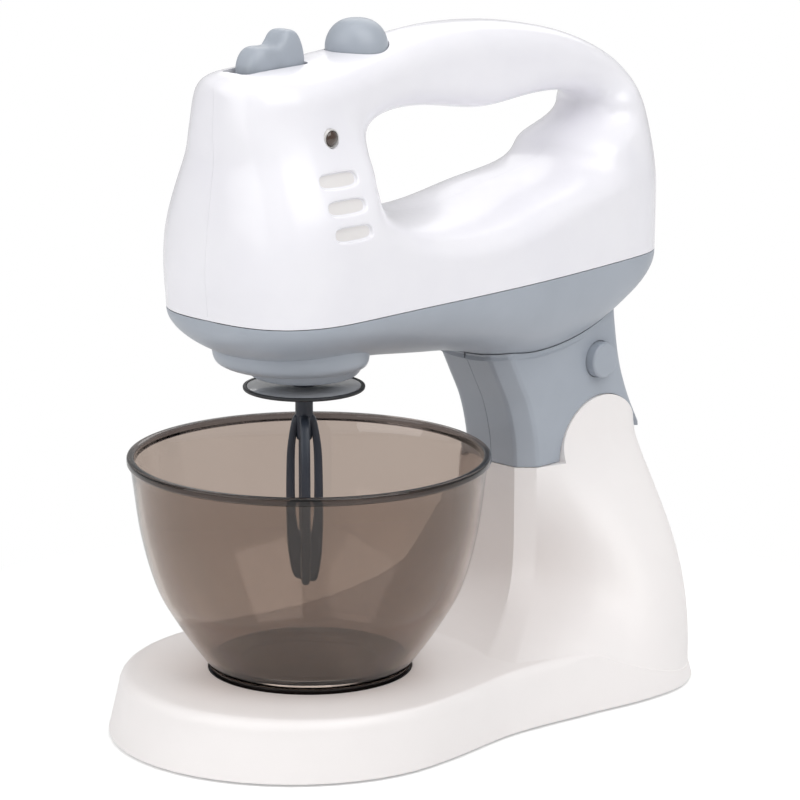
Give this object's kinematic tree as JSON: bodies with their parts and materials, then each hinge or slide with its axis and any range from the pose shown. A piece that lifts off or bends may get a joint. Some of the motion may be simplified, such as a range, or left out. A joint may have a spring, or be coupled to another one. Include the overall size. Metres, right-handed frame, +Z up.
{
  "type": "toy stand mixer",
  "caption": "Toy stand mixer: tilting hand mixer with loop handle, slider, dome button and vents, over a clear turning bowl.",
  "frame": {"origin": "on the ground, in the middle of the mixer's footprint in X and Y", "axes": "+Z up, -Y towards the nose and the bowl, +X the side with the release button"},
  "size_m": [0.1492, 0.2629, 0.2739],
  "materials": {
    "white_shell": "gloss",
    "white_stand": "gloss",
    "grey_blue": "satin",
    "slate": "satin",
    "black": "satin",
    "bowl_clear": "gloss",
    "lens_brown": "gloss",
    "rubber": "matte",
    "steel": "satin",
    "brass": "satin",
    "board_green": "matte",
    "inner_plastic": "matte"
  },
  "bodies": {
    "stand": {"base_shell": "white_stand", "bottom_cover": "white_stand", "rubber_feet": "rubber", "base_screws": "steel", "pivot_pin": "steel", "pivot_cap": "white_stand"},
    "carrier": {"turntable": "black", "turntable_washer": "slate", "turntable_screw": "steel"},
    "bowl": {"mixing_bowl": "bowl_clear"},
    "neck": {"neck_right": "grey_blue", "neck_left": "grey_blue", "neck_screws": "steel", "release_spring": "steel"},
    "release": {"release_button": "grey_blue"},
    "head": {"shell_right": "white_shell", "shell_left": "white_shell", "lower_cover": "grey_blue", "head_screws": "steel", "battery_tray": "inner_plastic", "battery_cells": "slate", "battery_contacts": "steel", "circuit_board": "board_green", "slide_switch": "black", "indicator_led": "lens_brown", "indicator_lens": "lens_brown", "button_seat": "inner_plastic", "dome_spring": "steel", "gear_frame": "inner_plastic", "spindle_bush": "brass", "idler_axle": "steel", "motor": "steel"},
    "door": {"battery_door": "white_shell", "door_screw": "steel"},
    "slider": {"speed_slider": "grey_blue"},
    "dome": {"dome_button": "grey_blue"},
    "drive": {"spindle": "inner_plastic"},
    "idler": {"idler_gear": "inner_plastic"},
    "pinion": {"motor_pinion": "brass"},
    "whisk": {"beater": "slate", "splash_disc": "slate"}
  },
  "joints": [
    {"name": "neck_tilt", "type": "hinge", "parent": "stand", "child": "neck", "pos_m": [0, 0.09405, 0.0865], "axis": [-1, 0, 0], "range_deg": [0, 32]},
    {"name": "head_lift_off", "type": "slide", "parent": "neck", "child": "head", "axis": [0, 0, 1], "range_m": [0, 0.06]},
    {"name": "turntable_spin", "type": "hinge", "parent": "stand", "child": "carrier", "pos_m": [0, -0.05095, 0.023], "axis": [0, 0, 1], "continuous": true},
    {"name": "bowl_lift", "type": "slide", "parent": "carrier", "child": "bowl", "axis": [0, 0, 1], "range_m": [0, 0.012]},
    {"name": "beater_spin", "type": "hinge", "parent": "head", "child": "drive", "pos_m": [0, -0.05345, 0.155], "axis": [0, 0, 1], "continuous": true},
    {"name": "idler_spin", "type": "hinge", "parent": "head", "child": "idler", "pos_m": [0, -0.02945, 0.16], "axis": [0, 0, 1], "continuous": true},
    {"name": "pinion_spin", "type": "hinge", "parent": "head", "child": "pinion", "pos_m": [0, -0.00845, 0.165], "axis": [0, 0, 1], "continuous": true},
    {"name": "beater_pull", "type": "slide", "parent": "drive", "child": "whisk", "axis": [0, 0, -1], "range_m": [0, 0.016]},
    {"name": "slider_slide", "type": "slide", "parent": "head", "child": "slider", "axis": [0, -1, 0], "range_m": [0, 0.005]},
    {"name": "dome_press", "type": "slide", "parent": "head", "child": "dome", "axis": [0, 0, -1], "range_m": [0, 0.003], "stiffness_N_per_m": 600, "deforming": ["dome_spring"]},
    {"name": "release_press", "type": "slide", "parent": "neck", "child": "release", "axis": [-1, 0, 0], "range_m": [0, 0.003], "stiffness_N_per_m": 600},
    {"name": "door_off", "type": "slide", "parent": "head", "child": "door", "axis": [-1, 0, 0], "range_m": [0, 0.03]}
  ],
  "couplings": [
    {"joint": "idler_spin", "follows": "beater_spin", "ratio": -3},
    {"joint": "pinion_spin", "follows": "beater_spin", "ratio": 7.5}
  ]
}
